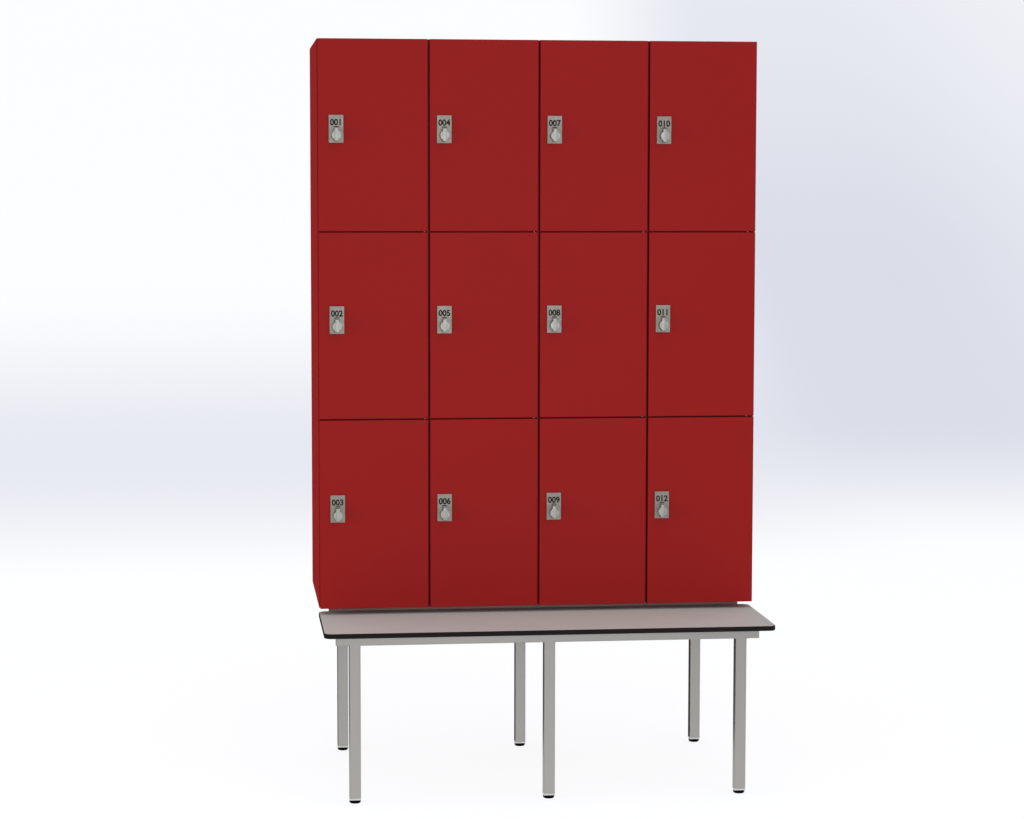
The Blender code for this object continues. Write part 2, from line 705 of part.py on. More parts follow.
def make_bearers(group, cutters, parent):
    """The two open tubes across the frame that the locker rests on."""
    half = TUBE / 2
    bore = half - TUBE_WALL
    run = BEARER_HALF_LENGTH
    places = (("bearer_front", BENCH_BACK_Y + SEAT_GAP), ("bearer_rear", FRAME_BACK_Y - TUBE))
    for name, front in places:
        bm = bmesh.new()
        add_tube(bm, (-run, -half, -half), (run, half, half), 0)
        centre = (0, front + half, BENCH_BOTTOM_Z + half)
        bearer = new_object(name, mesh_of(bm, name), group, centre, parent)
        finish(bearer, GREY_POWDER_COAT, 0.5, 0)
        hollow = bmesh.new()
        add_box(hollow, (-run - CUT_OVERRUN, -bore, -bore), (run + CUT_OVERRUN, bore, bore))
        cutter = helper(name + "_bore", mesh_of(hollow, name), cutters, centre)
        combine(bearer, cutter, "DIFFERENCE")


def make_feet(group, cutters, parent):
    """A foot under each leg: a round glide, a square collar and a plug in the tube."""
    half = TUBE / 2
    plug = half - TUBE_WALL - SEAT_GAP
    for number, (x, y) in enumerate(leg_places(), 1):
        name = "foot_%d" % number
        bm = bmesh.new()
        add_box(bm, (-half, -half, GLIDE_HEIGHT), (half, half, LEG_FOOT_Z))
        round_edges(bm, edges_along(bm, 2), COLLAR_EDGE, EDGE_SEGMENTS)
        centre = (x, y + half, 0)
        foot = new_object(name, mesh_of(bm, name), group, centre, parent)
        finish(foot, BLACK_PLASTIC, 0.5, 0)
        upper = bmesh.new()
        add_box(upper, (-plug, -plug, GLIDE_HEIGHT + COLLAR_HEIGHT / 2),
                (plug, plug, LEG_FOOT_Z + PLUG_HEIGHT))
        combine(foot, helper(name + "_plug", mesh_of(upper, name), cutters, centre), "UNION")
        combine(foot, make_glide(name + "_glide", cutters, centre), "UNION")


def make_glide(name, cutters, place):
    """The round glide, turned from its profile: a flat sole with a rounded rim."""
    top = GLIDE_HEIGHT + COLLAR_HEIGHT / 2
    bm = bmesh.new()
    profile = [(0, top), (GLIDE_RADIUS, top), (GLIDE_RADIUS, GLIDE_RIM), (GLIDE_SOLE_RADIUS, 0), (0, 0)]
    corners = [bm.verts.new((radius, 0, z)) for radius, z in profile]
    for upper, lower in zip(corners, corners[1:]):
        bm.edges.new((upper, lower))
    glide = helper(name, mesh_of(bm, name), cutters, place)
    turn = glide.modifiers.new("Turn", "SCREW")
    turn.steps = GLIDE_SIDES
    turn.render_steps = GLIDE_SIDES
    turn.use_merge_vertices = True
    turn.merge_threshold = WELD_DISTANCE
    return glide


def main():
    """Builds the whole object."""
    remove_scene_objects()
    group = new_collection("locker_with_bench")
    cutters = new_collection("cutters")
    stand = new_object("stand", None, group)
    locker = new_object("locker", None, group, (0, DOOR_FRONT_Y, LOCKER_BOTTOM_Z))
    make_outer_panels(group, cutters, locker)
    make_partitions(group, cutters, locker)
    make_shelves(group, cutters, locker)
    make_hinge_strips(group, cutters, locker)
    make_doors(group, cutters, locker)
    make_bench(group, stand)
    make_frame(group, cutters, stand)
    make_bearers(group, cutters, stand)
    make_feet(group, cutters, stand)


main()
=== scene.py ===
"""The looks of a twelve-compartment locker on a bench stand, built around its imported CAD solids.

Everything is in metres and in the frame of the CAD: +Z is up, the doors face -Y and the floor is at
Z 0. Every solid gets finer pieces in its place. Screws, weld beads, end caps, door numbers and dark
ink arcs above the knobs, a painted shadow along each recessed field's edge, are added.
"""

from __future__ import annotations

import json
import logging
from collections.abc import Callable, Iterable
from dataclasses import dataclass, field
from enum import Enum
from math import cos, pi, radians, sin

import bmesh
import bpy
from mathutils import Matrix, Vector


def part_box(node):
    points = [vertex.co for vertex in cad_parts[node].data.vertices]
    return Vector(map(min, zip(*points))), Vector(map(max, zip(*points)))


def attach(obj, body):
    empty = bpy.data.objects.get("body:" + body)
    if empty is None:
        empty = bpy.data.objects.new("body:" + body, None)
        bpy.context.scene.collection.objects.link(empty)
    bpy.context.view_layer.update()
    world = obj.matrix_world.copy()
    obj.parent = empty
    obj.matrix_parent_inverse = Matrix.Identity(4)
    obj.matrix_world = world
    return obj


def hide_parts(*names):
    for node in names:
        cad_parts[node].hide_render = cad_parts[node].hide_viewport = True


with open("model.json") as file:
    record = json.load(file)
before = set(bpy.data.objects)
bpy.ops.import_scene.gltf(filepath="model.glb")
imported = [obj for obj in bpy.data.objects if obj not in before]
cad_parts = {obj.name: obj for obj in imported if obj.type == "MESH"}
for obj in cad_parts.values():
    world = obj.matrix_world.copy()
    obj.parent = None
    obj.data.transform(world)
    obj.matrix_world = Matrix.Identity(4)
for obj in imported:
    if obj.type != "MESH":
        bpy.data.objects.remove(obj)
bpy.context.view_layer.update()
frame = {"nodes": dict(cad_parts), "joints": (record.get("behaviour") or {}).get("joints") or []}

LOG = logging.getLogger("locker")
MILLIMETRE = 0.001
WELD_DISTANCE = 2e-6
SKIN = 2e-5
FLAT_ANGLE = radians(0.4)
SHARP_ANGLE = radians(40)
ARRIS_ANGLE = radians(50)
SQUARE_ON = 0.99
LARGE_FACE_WEIGHT = 100

Colour = tuple[float, float, float, float]
Triple = tuple[float, float, float]
Zone = Callable[[Vector, Vector], int]
Piece = bpy.types.Object
Mesh = bpy.types.Mesh
Body = bmesh.types.BMesh
Tree = bpy.types.NodeTree
Socket = bpy.types.NodeSocket


class Axis(Enum):
    """The axis that a board is thinnest along."""

    X = 0
    Y = 1
    Z = 2


def linear(code: str) -> Colour:
    """Turns a colour from an sRGB hex value to linear light.

    Args:
        code: six hex digits.

    Returns:
        Red, green, blue and alpha.
    """
    parts = [int(code[at:at + 2], 16) / 255 for at in (0, 2, 4)]
    red, green, blue = (p / 12.92 if p <= 0.04045 else ((p + 0.055) / 1.055) ** 2.4 for p in parts)
    return red, green, blue, 1.0


def add_node(tree: Tree, kind: str, inputs: dict | None = None,
             **settings: object) -> bpy.types.Node:
    """Adds a node with its settings, its input values and its links.

    Args:
        tree: the tree that the node goes into.
        kind: the node's type.
        inputs: for each socket's name or number, a value or the output that feeds it.
        settings: the node's own properties.

    Returns:
        The new node.
    """
    node = tree.nodes.new(kind)
    for name, value in settings.items():
        setattr(node, name, value)
    feed(tree, node, inputs or {})
    return node


def feed(tree: Tree, node: bpy.types.Node, inputs: dict) -> None:
    """Sets or links a node's inputs.

    Args:
        tree: the tree that the node is in.
        node: the node.
        inputs: for each socket's name or number, a value or the output that feeds it.
    """
    for socket, source in inputs.items():
        if isinstance(source, Socket):
            tree.links.new(source, node.inputs[socket])
        else:
            node.inputs[socket].default_value = source


def mixed(tree: Tree, share: Socket, one: Colour | Socket, other: Colour | Socket) -> Socket:
    """Mixes two colours.

    Args:
        tree: the material's node tree.
        share: how much of the other colour goes in.
        one: a colour.
        other: the other colour.

    Returns:
        The mixed colour.
    """
    return add_node(tree, "ShaderNodeMix", {0: share, 6: one, 7: other}, data_type="RGBA").outputs[2]


def product(tree: Tree, factors: list[Socket]) -> Socket:
    """Multiplies values.

    Args:
        tree: the material's node tree.
        factors: the values.

    Returns:
        Their product.
    """
    total = factors[0]
    for factor in factors[1:]:
        total = add_node(tree, "ShaderNodeMath", {0: total, 1: factor},
                         operation="MULTIPLY").outputs[0]
    return total


@dataclass(frozen=True)
class Grain:
    """A noise: the size of its grains, how finely they break up, and their size along Z if another."""

    size: float
    detail: float = 2.0
    along_z: float | None = None

    def value(self, tree: Tree, place: Socket) -> Socket:
        """Adds the noise to a tree.

        Args:
            tree: the material's node tree.
            place: the object coordinates.

        Returns:
            The noise's value.
        """
        scale = 1 / self.size
        if self.along_z:
            drawn = add_node(tree, "ShaderNodeMapping",
                             {"Vector": place, "Scale": (scale, scale, 1 / self.along_z)})
            place, scale = drawn.outputs["Vector"], 1.0
        return add_node(tree, "ShaderNodeTexNoise",
                        {"Vector": place, "Scale": scale, "Detail": self.detail}).outputs["Fac"]


@dataclass(frozen=True)
class Flakes(Grain):
    """Pressed flakes: each one's colour, or the distance to its middle."""

    output: str = "Distance"

    def value(self, tree: Tree, place: Socket) -> Socket:
        """Adds the flakes to a tree.

        Args:
            tree: the material's node tree.
            place: the object coordinates.

        Returns:
            The flakes' colour or distance.
        """
        return add_node(tree, "ShaderNodeTexVoronoi",
                        {"Vector": place, "Scale": 1 / self.size}).outputs[self.output]


@dataclass(frozen=True)
class Tone:
    """A second colour, and the grains whose product says how much of it shows."""

    colour: str
    grains: tuple[Grain, ...]


@dataclass(frozen=True)
class Sheen:
    """A grain, and how much smoother and rougher than the finish it makes the surface."""

    grain: Grain
    smoother: float
    rougher: float


@dataclass(frozen=True)
class Relief:
    """A grain, its height on the surface and how much of it shows."""

    grain: Grain
    height: float
    strength: float


@dataclass(frozen=True)
class Finish:
    """A real material and how its surface was made."""

    name: str
    colour: str
    roughness: float
    slot: str | None = None
    ior: float | None = None
    metallic: float = 0.0
    specular: float = 0.5
    tone: Tone | None = None
    sheen: Sheen | None = None
    relief: Relief | None = None

    def dress(self, tree: Tree, shader: bpy.types.Node, place: Socket) -> None:
        """Adds the surface's own pattern.

        Args:
            tree: the material's node tree.
            shader: its Principled shader.
            place: the object coordinates.
        """
        if self.tone:
            share = product(tree, [grain.value(tree, place) for grain in self.tone.grains])
            both = mixed(tree, share, linear(self.colour), linear(self.tone.colour))
            feed(tree, shader, {"Base Color": both})
        if self.sheen:
            spread = add_node(tree, "ShaderNodeMapRange",
                              {"Value": self.sheen.grain.value(tree, place),
                               "To Min": self.roughness - self.sheen.smoother,
                               "To Max": self.roughness + self.sheen.rougher})
            feed(tree, shader, {"Roughness": spread.outputs["Result"]})
        if self.relief:
            bump = add_node(tree, "ShaderNodeBump",
                            {"Strength": self.relief.strength, "Distance": self.relief.height,
                             "Height": self.relief.grain.value(tree, place)})
            feed(tree, shader, {"Normal": bump.outputs["Normal"]})

    def material(self) -> bpy.types.Material:
        """Makes the material once.

        Returns:
            The material, the same one at each call.
        """
        known = bpy.data.materials.get(self.name)
        if known:
            return known
        made = bpy.data.materials.new(self.name)
        made.use_nodes = True
        tree = made.node_tree
        shader = tree.nodes["Principled BSDF"]
        feed(tree, shader, {"Base Color": linear(self.colour), "Roughness": self.roughness,
                            "Metallic": self.metallic, "Specular IOR Level": self.specular})
        if self.ior:
            feed(tree, shader, {"IOR": self.ior})
        self.dress(tree, shader, add_node(tree, "ShaderNodeTexCoord").outputs["Object"])
        return made


@dataclass(frozen=True)
class MelamineBoard(Finish):
    """Melamine-faced chipboard, pressed against a satin plate.

    The colour is even, with slow clouds of tone. The pearl grain is four times as coarse as the real one.
    """

    clouds = Grain(size=0.35, detail=3.0)
    pearl = Grain(size=0.0016)
    tone: Tone = Tone("920e0d", (clouds,))
    sheen: Sheen = Sheen(pearl, smoother=0.05, rougher=0.07)
    relief: Relief = Relief(pearl, height=0.00004, strength=0.35)


@dataclass(frozen=True)
class EdgeBand(Finish):
    """ABS edging, extruded and glued round a board, then trimmed: smoother than the face.

    The trimming knives leave faint waves.
    """

    waves = Grain(size=0.004, detail=1.0)
    sheen: Sheen = Sheen(waves, smoother=0.04, rougher=0.06)
    relief: Relief = Relief(waves, height=0.00002, strength=0.3)


@dataclass(frozen=True)
class RawChipboard(Finish):
    """The inside of a chipboard where a slot, pocket or bore was milled: pale and dark torn flakes."""

    tone: Tone = Tone("7d5f3f", (Flakes(size=0.0025, output="Color"),))
    relief: Relief = Relief(Flakes(size=0.0025), height=0.0003, strength=0.6)


@dataclass(frozen=True)
class CompactLaminateFace(Finish):
    """The decor sheet of compact laminate, pressed crystal-matt: a fine, slightly mottled grey.

    Its specks and its crystal relief are three times as coarse as the real ones.
    """

    clouds = Grain(size=0.12, detail=4.0)
    specks = Grain(size=0.0014, detail=3.0)
    tone: Tone = Tone("bebfba", (clouds, specks))
    relief: Relief = Relief(specks, height=0.00006, strength=0.4)


@dataclass(frozen=True)
class PhenolicCore(Finish):
    """The milled edge of compact laminate: black phenolic paper, lightly polished.

    Its layers are three times as thick as the real ones.
    """

    layers = Grain(size=0.125, detail=1.0, along_z=0.0009)
    tone: Tone = Tone("191614", (layers,))
    sheen: Sheen = Sheen(layers, smoother=0.06, rougher=0.08)


@dataclass(frozen=True)
class PowderCoat(Finish):
    """Polyester powder, sprayed on steel and baked, with a metallic pigment.

    It has a fine orange peel, and the pigment's gloss is uneven.
    """

    metallic: float = 0.95
    peel = Grain(size=0.0022)
    sheen: Sheen = Sheen(peel, smoother=0.06, rougher=0.06)
    relief: Relief = Relief(peel, height=0.00005, strength=0.5)


@dataclass(frozen=True)
class ZincPlate(Finish):
    """Rolled or turned steel with a bright zinc plate: cool metal with cloudy, bluish passivation.

    Fine rolling marks run along the height.
    """

    metallic: float = 1.0
    clouds = Grain(size=0.018, detail=3.0)
    marks = Grain(size=0.0008, along_z=0.05)
    tone: Tone = Tone("aab4c0", (clouds,))
    sheen: Sheen = Sheen(marks, smoother=0.08, rougher=0.1)


@dataclass(frozen=True)
class NickelCasting(Finish):
    """Die-cast zinc alloy, bead-blasted and nickel plated: a soft satin metal with fine grain.

    Hands leave it polished in patches.
    """

    metallic: float = 0.85
    smudges = Grain(size=0.012)
    blasting = Grain(size=0.0006)
    sheen: Sheen = Sheen(smudges, smoother=0.1, rougher=0.1)
    relief: Relief = Relief(blasting, height=0.00003, strength=0.4)


@dataclass(frozen=True)
class MouldedPlastic(Finish):
    """Injection-moulded polyamide from a spark-eroded mould: even colour, fine matt texture."""

    pits = Grain(size=0.0007)
    sheen: Sheen = Sheen(pits, smoother=0.05, rougher=0.1)
    relief: Relief = Relief(pits, height=0.00004, strength=0.5)


@dataclass(frozen=True)
class PrintedInk(Finish):
    """Two-part ink, pad-printed on metal: dark and nearly matt, a little thinner in spots."""

    tone: Tone = Tone("191916", (Grain(size=0.0015),))


@dataclass(frozen=True)
class FlagCloth(Finish):
    """Black duvetyne on the studio's flags: a napped cloth that gives back almost no light."""

    specular: float = 0.0
    tone: Tone = Tone("0a0a0a", (Grain(size=0.0015),))


@dataclass(frozen=True)
class SoftStep:
    """A value that changes softly along one coordinate."""

    start: float
    end: float
    before: float = 0.0
    after: float = 1.0

    def output(self, tree: Tree, along: Socket) -> Socket:
        """Adds the step to a tree.

        Args:
            tree: the material's node tree.
            along: the coordinate that it runs along.

        Returns:
            The value.
        """
        return add_node(tree, "ShaderNodeMapRange",
                        {"Value": along, "From Min": self.start, "From Max": self.end,
                         "To Min": self.before, "To Max": self.after},
                        interpolation_type="SMOOTHSTEP").outputs["Result"]


@dataclass(frozen=True)
class LitSweep(Finish):
    """Matt opal acrylic sheet, lit from below and behind: it glows, so nothing throws a hard shadow."""

    specular: float = 0.0
    glow: float = 0.86
    glow_colour: str = "fefeff"
    # A blue-grey painted shade, darkest where the sheet curves up and over its right-hand wall.
    shade_colour: str = "d5d8e4"
    dark: str = "000000"
    front_glow: SoftStep = SoftStep(start=-2.4, end=-0.9, before=0.4)
    left_steps: tuple[SoftStep, ...] = (SoftStep(start=3.6, end=6.2),
                                        SoftStep(start=6.4, end=8.6, before=0.66, after=0.0))
    right_steps: tuple[SoftStep, ...] = (SoftStep(start=4.1, end=6.8),
                                         SoftStep(start=8.6, end=11.8, before=1.0, after=0.62))
    right_fades: SoftStep = SoftStep(start=3.3, end=5.5, before=1.0, after=0.6)
    left_to_right: SoftStep = SoftStep(start=1.49, end=2.62)

    def dress(self, tree: Tree, shader: bpy.types.Node, place: Socket) -> None:
        """Adds the glow, weaker in front; where the sheet curves up and over its right-hand wall it mixes
        in a blue-grey painted shade.

        Args:
            tree: the material's node tree.
            shader: its Principled shader.
            place: the object coordinates.
        """
        along = add_node(tree, "ShaderNodeSeparateXYZ", {"Vector": place}).outputs
        left = product(tree, [step.output(tree, along["Y"]) for step in self.left_steps])
        right = product(tree, [*(step.output(tree, along["Y"]) for step in self.right_steps),
                               self.right_fades.output(tree, along["X"])])
        depth = add_node(tree, "ShaderNodeMix",
                         {0: self.left_to_right.output(tree, along["X"]), 2: left, 3: right})
        tone = mixed(tree, depth.outputs[0], linear(self.glow_colour), linear(self.shade_colour))
        dimmed = mixed(tree, self.front_glow.output(tree, along["Y"]), linear(self.dark), tone)
        feed(tree, shader, {"Emission Color": dimmed, "Emission Strength": self.glow})


RED_FACE = MelamineBoard("red_melamine_board_satin", "950f0e", 0.5, "red_board", 1.25)
RED_BAND = EdgeBand("red_abs_edging_trimmed", "8c0e0d", 0.45, "red_board", 1.25)
CHIPBOARD = RawChipboard("raw_chipboard_milled", "b8966a", 0.8, "red_board")
GREY_DECOR = CompactLaminateFace("grey_compact_laminate_crystal", "c8c7c3", 0.45, "grey_laminate")
BLACK_CORE = PhenolicCore("black_phenolic_core_milled", "100e0d", 0.5, "grey_laminate", 1.2)
GREY_POWDER = PowderCoat("grey_polyester_powder_coat", "9f9d99", 0.42, "grey_powder_coat")
# The bearers' grey powder coat, painted darker and browner: painted shade and red bounce light in the
# slit under the locker.
PAINTED_SHADE_POWDER = PowderCoat("taupe_polyester_powder_coat", "8a706c", 0.5, "grey_powder_coat")
BRIGHT_ZINC = ZincPlate("bright_zinc_plated_steel", "b9bcc0", 0.34, "zinc_steel")
PLATE_NICKEL = NickelCasting("satin_nickel_plated_casting", "88857d", 0.44, "nickel_lock")
KNOB_NICKEL = NickelCasting("satin_nickel_plated_knob", "9c9c97", 0.4, "nickel_knob")
BLACK_NYLON = MouldedPlastic("black_moulded_polyamide", "050505", 0.6, "black_plastic", 1.1)
# Pale grey plastic for the collars; the paleness is partly a painted highlight of the floor's light on
# the foot's chamfer.
PALE_NYLON_AND_HIGHLIGHT = MouldedPlastic("pale_grey_moulded_polyamide", "c4c4c2", 0.5, "black_plastic")
# Ink for the printed numbers, and for the arcs above the knobs, which are painted shadow.
PRINT_AND_SHADOW_INK = PrintedInk("dark_pad_printed_ink", "0c0c09", 0.6, ior=1.3)
OPAL_SWEEP = LitSweep("opal_acrylic_sweep_lit", "747577", 0.9)
BLACK_CLOTH = FlagCloth("black_duvetyne_flag", "040404", 0.95)


def new_object(name: str, data: bpy.types.ID) -> Piece:
    """Links an object to the scene at the origin.

    Args:
        name: the name of the object and of its data.
        data: its mesh, already in place, or its curve, light or camera.

    Returns:
        The object.
    """
    data.name = name
    made = bpy.data.objects.new(name, data)
    bpy.context.scene.collection.objects.link(made)
    return made


def mesh_of(bm: Body, name: str, outwards: bool = True) -> Mesh:
    """Turns a bmesh into a mesh, and frees it.

    Args:
        bm: the bmesh.
        name: the mesh's name.
        outwards: whether its faces are turned outwards first.

    Returns:
        The mesh.
    """
    if outwards:
        bmesh.ops.recalc_face_normals(bm, faces=bm.faces)
    mesh = bpy.data.meshes.new(name)
    bm.to_mesh(mesh)
    bm.free()
    return mesh


def evaluated_mesh(source: Piece) -> Mesh:
    """Makes a plain mesh of an object as its modifiers leave it.

    Args:
        source: the object.

    Returns:
        The new mesh.
    """
    graph = bpy.context.evaluated_depsgraph_get()
    return bpy.data.meshes.new_from_object(source.evaluated_get(graph))


def settle(piece: Piece) -> Piece:
    """Turns a piece's modifiers into its plain mesh.

    Args:
        piece: the piece.

    Returns:
        The same piece.
    """
    mesh = evaluated_mesh(piece)
    before = piece.data
    piece.modifiers.clear()
    piece.data = mesh
    mesh.name = piece.name
    bpy.data.meshes.remove(before)
    return piece


def shade(piece: Piece) -> None:
    """Smooths a piece's curves and keeps its large faces flat.

    Args:
        piece: the piece.
    """
    piece.data.shade_smooth()
    piece.data.set_sharp_from_angle(angle=SHARP_ANGLE)
    weigh = piece.modifiers.new("large faces stay flat", "WEIGHTED_NORMAL")
    weigh.keep_sharp = True
    weigh.weight = LARGE_FACE_WEIGHT
    settle(piece)


def ease_arrises(piece: Piece, width: float, segments: int = 2) -> Piece:
    """Rounds every sharp edge of a piece a little.

    Args:
        piece: the piece.
        width: how far the rounding reaches into each face.
        segments: the number of faces across it.

    Returns:
        The same piece.
    """
    bevel = piece.modifiers.new("arris", "BEVEL")
    bevel.limit_method = "ANGLE"
    bevel.angle_limit = ARRIS_ANGLE
    bevel.width = width
    bevel.segments = segments
    bevel.use_clamp_overlap = True
    return settle(piece)


def carve(piece: Piece, cutter: Mesh, operation: str = "DIFFERENCE") -> None:
    """Cuts a mesh out of a piece, or joins it to the piece.

    Args:
        piece: the piece.
        cutter: the mesh to cut or join with, whose object isn't kept.
        operation: the Boolean's own name for it.
    """
    tool = new_object("tool", cutter)
    cut = piece.modifiers.new("cut", "BOOLEAN")
    cut.operation = operation
    cut.solver = "EXACT"
    cut.object = tool
    settle(piece)
    bpy.data.objects.remove(tool)


def twin(node: str, name: str) -> Piece:
    """Copies a CAD node's mesh, with its loose triangles merged and its flat faces made whole.

    Args:
        node: the CAD node.
        name: the new piece's name.

    Returns:
        The new piece.
    """
    bm = bmesh.new()
    source = frame["nodes"][node].data
    corners = [bm.verts.new(vertex.co) for vertex in source.vertices]
    for polygon in source.polygons:
        bm.faces.new([corners[at] for at in polygon.vertices])
    bmesh.ops.remove_doubles(bm, verts=bm.verts, dist=WELD_DISTANCE)
    bmesh.ops.dissolve_limit(bm, angle_limit=FLAT_ANGLE, verts=bm.verts, edges=bm.edges)
    return new_object(name, mesh_of(bm, name, outwards=False))


def rounded_box(low: Vector, high: Vector, radius: float, segments: int = 3) -> Body:
    """Makes a box with every edge rounded.

    Args:
        low: its lowest corner.
        high: its highest corner.
        radius: the radius of its edges.
        segments: the number of faces across an edge.

    Returns:
        The box.
    """
    bm = bmesh.new()
    bmesh.ops.create_cube(bm, size=1)
    bmesh.ops.transform(bm, matrix=Matrix.Diagonal((*(high - low), 1)), verts=bm.verts)
    bmesh.ops.translate(bm, verts=bm.verts, vec=(low + high) / 2)
    bmesh.ops.bevel(bm, geom=list(bm.edges), offset=radius, segments=segments, profile=0.5,
                    affect="EDGES", clamp_overlap=True)
    return bm


def turned(profile: Iterable[tuple[float, float]], sides: int) -> Body:
    """Turns a closed outline round +Z, as on a lathe.

    Args:
        profile: radius and height of each point, from the axis to the axis.
        sides: the number of sides.

    Returns:
        The turned body.
    """
    bm = bmesh.new()
    points = [bm.verts.new((radius, 0, height)) for radius, height in profile]
    edges = [bm.edges.new(pair) for pair in zip(points, points[1:])]
    bmesh.ops.spin(bm, geom=points + edges, cent=(0, 0, 0), axis=(0, 0, 1), angle=2 * pi,
                   steps=sides, use_merge=True)
    bmesh.ops.remove_doubles(bm, verts=bm.verts, dist=WELD_DISTANCE)
    return bm


def paint(piece: Piece, finishes: Iterable[Finish], zone: Zone | None = None) -> None:
    """Gives a piece its materials, and each face one of them.

    Args:
        piece: the piece.
        finishes: its finishes.
        zone: tells the number of the finish from a face's centre and normal.
    """
    mesh = piece.data
    mesh.materials.clear()
    for finish in finishes:
        mesh.materials.append(finish.material())
    for polygon in mesh.polygons:
        polygon.material_index = zone(polygon.center, polygon.normal) if zone else 0


def seat(piece: Piece, body: str, slot: str | None = None, *nodes: str) -> None:
    """Makes a piece ride on a body, and stand for CAD nodes.

    Args:
        piece: the finished piece.
        body: the CAD body.
        slot: the record's slot for its finish; not used.
        nodes: the CAD nodes that it stands for.
    """
    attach(piece, body)
    if nodes:
        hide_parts(*nodes)
    LOG.info("%s on %s, %d faces", piece.name, body, len(piece.data.polygons))


def complete(piece: Piece, body: str, finishes: tuple[Finish, ...], *nodes: str,
             zone: Zone | None = None) -> None:
    """Shades and paints a piece, and seats it.

    Args:
        piece: the piece.
        body: the CAD body that it rides on.
        finishes: its finishes.
        nodes: the CAD nodes that it stands for.
        zone: tells the number of the finish from a face's centre and normal.
    """
    shade(piece)
    paint(piece, finishes, zone)
    seat(piece, body, finishes[0].slot, *nodes)


def complete_board(board: Piece, body: str, node: str, thin: Axis, arris: float) -> None:
    """Completes a board, with other finishes on its faces, banded edges and milled insides.

    Args:
        board: the board.
        body: the CAD body that it rides on.
        node: the CAD node that it stands for.
        thin: the axis that it is thinnest along.
        arris: how wide its rounded edges are.
    """
    low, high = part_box(node)

    def zone(centre: Vector, normal: Vector) -> int:
        """Gives 0 to a face, 1 to an edge and 2 to the milled inside."""
        near = [min(centre[at] - low[at], high[at] - centre[at]) for at in range(3)]
        if near[thin.value] < SKIN and abs(normal[thin.value]) > SQUARE_ON:
            return 0
        across = [near[at] for at in range(3) if at != thin.value]
        return 1 if min(across) < arris + SKIN else 2

    complete(board, body, (RED_FACE, RED_BAND, CHIPBOARD), node, zone=zone)


@dataclass(frozen=True)
class Maker:
    """A Geometry Nodes tree that sets copies of one thing on a mesh."""

    name: str
    inputs: tuple[tuple[str, str], ...]

    def place(self, tree: Tree, given: bpy.types.NodeOutputs) -> Socket:
        """Adds the nodes that place the copies.

        Args:
            tree: the tree.
            given: the tree's inputs.

        Returns:
            The placed copies.
        """
        raise NotImplementedError

    def tree(self) -> Tree:
        """Builds the tree once.

        Returns:
            The tree, the same one at each call.
        """
        known = bpy.data.node_groups.get(self.name)
        if known:
            return known
        tree = bpy.data.node_groups.new(self.name, "GeometryNodeTree")
        for name, kind in (("Mesh", "Geometry"), *self.inputs, ("Seed", "Int"),
                           ("Finish", "Material")):
            tree.interface.new_socket(name=name, in_out="INPUT", socket_type=f"NodeSocket{kind}")
        tree.interface.new_socket(name="Copies", in_out="OUTPUT", socket_type="NodeSocketGeometry")
        given = add_node(tree, "NodeGroupInput").outputs
        whole = add_node(tree, "GeometryNodeRealizeInstances", {"Geometry": self.place(tree, given)})
        dressed = add_node(tree, "GeometryNodeSetMaterial",
                           {"Geometry": whole.outputs[0], "Material": given["Finish"]})
        add_node(tree, "NodeGroupOutput", {"Copies": dressed.outputs[0]})
        return tree

    def grow(self, piece: Piece, values: dict[str, object]) -> None:
        """Runs the tree on a piece and keeps what it makes as the piece's mesh.

        Args:
            piece: the piece.
            values: a value for each of the tree's named inputs.
        """
        tree = self.tree()
        modifier = piece.modifiers.new(tree.name, "NODES")
        modifier.node_group = tree
        for item in tree.interface.items_tree:
            if item.in_out == "INPUT" and item.name in values:
                modifier[item.identifier] = values[item.name]
        settle(piece)


@dataclass(frozen=True)
class SeatedPieces(Maker):
    """Sets one piece on each point of a mesh, each turned a little."""

    name: str = "seated_pieces"
    inputs: tuple[tuple[str, str], ...] = (("Piece", "Object"), ("Turn", "Vector"))

    def place(self, tree: Tree, given: bpy.types.NodeOutputs) -> Socket:
        """Adds the nodes that place the pieces.

        Args:
            tree: the tree.
            given: the tree's inputs.

        Returns:
            The placed pieces.
        """
        points = add_node(tree, "GeometryNodeMeshToPoints", {"Mesh": given["Mesh"]})
        piece = add_node(tree, "GeometryNodeObjectInfo", {"Object": given["Piece"]})
        turn = add_node(tree, "FunctionNodeRandomValue",
                        {0: (0.0, 0.0, 0.0), 1: given["Turn"], "Seed": given["Seed"]},
                        data_type="FLOAT_VECTOR")
        return add_node(tree, "GeometryNodeInstanceOnPoints",
                        {"Points": points.outputs[0], "Instance": piece.outputs["Geometry"],
                         "Rotation": turn.outputs[0]}).outputs[0]


@dataclass(frozen=True)
class WeldRipples(Maker):
    """Lays the ripples of a weld along each edge of a mesh."""

    name: str = "weld_ripples"
    inputs: tuple[tuple[str, str], ...] = (("Pitch", "Float"), ("Ripple", "Float"),
                                           ("Unevenness", "Float"))

    def place(self, tree: Tree, given: bpy.types.NodeOutputs) -> Socket:
        """Adds the nodes that place the ripples.

        Args:
            tree: the tree.
            given: the tree's inputs.

        Returns:
            The placed ripples.
        """
        seams = add_node(tree, "GeometryNodeMeshToCurve", {"Mesh": given["Mesh"]})
        steps = add_node(tree, "GeometryNodeResampleCurve",
                         {"Curve": seams.outputs[0], "Length": given["Pitch"]}, mode="LENGTH")
        ripple = add_node(tree, "GeometryNodeMeshIcoSphere",
                          {"Radius": given["Ripple"], "Subdivisions": 2})
        soft = add_node(tree, "GeometryNodeSetShadeSmooth", {"Geometry": ripple.outputs["Mesh"]})
        least, most = (add_node(tree, "ShaderNodeMath", {0: 1.0, 1: given["Unevenness"]},
                                operation=sign).outputs[0] for sign in ("SUBTRACT", "ADD"))
        scale = add_node(tree, "FunctionNodeRandomValue", {0: least, 1: most, "Seed": given["Seed"]},
                         data_type="FLOAT_VECTOR")
        return add_node(tree, "GeometryNodeInstanceOnPoints",
                        {"Points": steps.outputs[0], "Instance": soft.outputs[0],
                         "Scale": scale.outputs[0]}).outputs[0]


